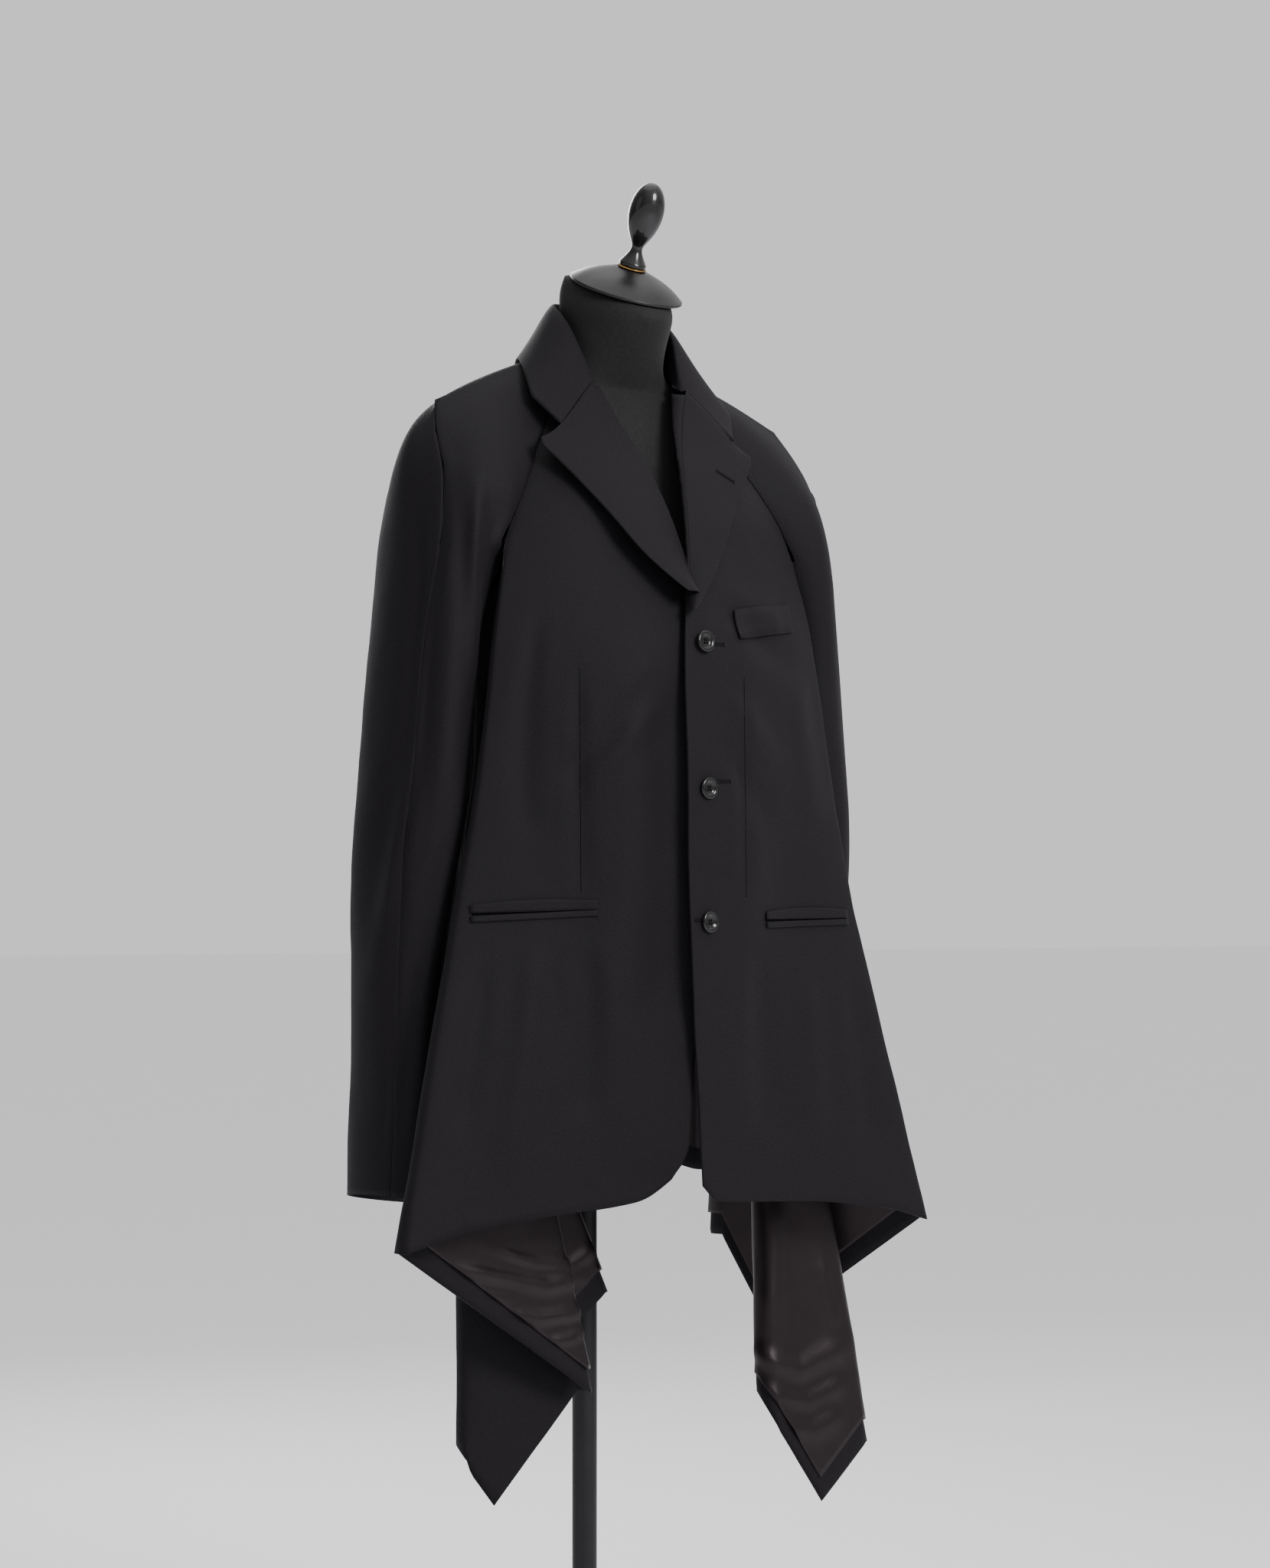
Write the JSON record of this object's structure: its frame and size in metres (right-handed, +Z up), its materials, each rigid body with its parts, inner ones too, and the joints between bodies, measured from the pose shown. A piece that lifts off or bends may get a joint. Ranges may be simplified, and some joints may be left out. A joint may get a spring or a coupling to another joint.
{
  "type": "draped hem blazer on a limbless dress form",
  "caption": "Black raglan blazer with notched lapels, flap-free jetted pockets and folded pointed side hems, standing on a limbless dress form.",
  "frame": {"origin": "on the floor under the neck's centre plane, on the underside of the base", "axes": "+Z up, +X the wearer's left, -Y the front"},
  "size_m": [0.5907, 0.3821, 1.5715],
  "materials": {
    "wool": "matte fine worsted crepe",
    "lining": "satin",
    "satin": "satin",
    "jersey": "matte",
    "button": "polished",
    "lacquer": "gloss lacquer",
    "brass": "aged",
    "steel": "satin black paint"
  },
  "bodies": {
    "root": {"front_right": "wool", "front_left": "wool", "back_right": "wool", "back_left": "wool", "sleeve_front_right": "wool", "sleeve_back_right": "wool", "sleeve_front_left": "wool", "sleeve_back_left": "wool", "lapel_right": "wool", "lapel_left": "wool", "collar": "wool", "chest_welt": "wool", "pocket_jet_upper_right": "wool", "pocket_jet_lower_right": "wool", "pocket_jet_upper_left": "wool", "pocket_jet_lower_left": "wool", "tail_lining_right": "lining", "tail_lining_left": "lining", "button_1": "button", "button_2": "button", "button_3": "button", "form_torso": "jersey", "neck_cap": "satin", "finial_ring": "brass", "finial": "lacquer", "pole": "steel", "base": "steel"}
  },
  "joints": []
}
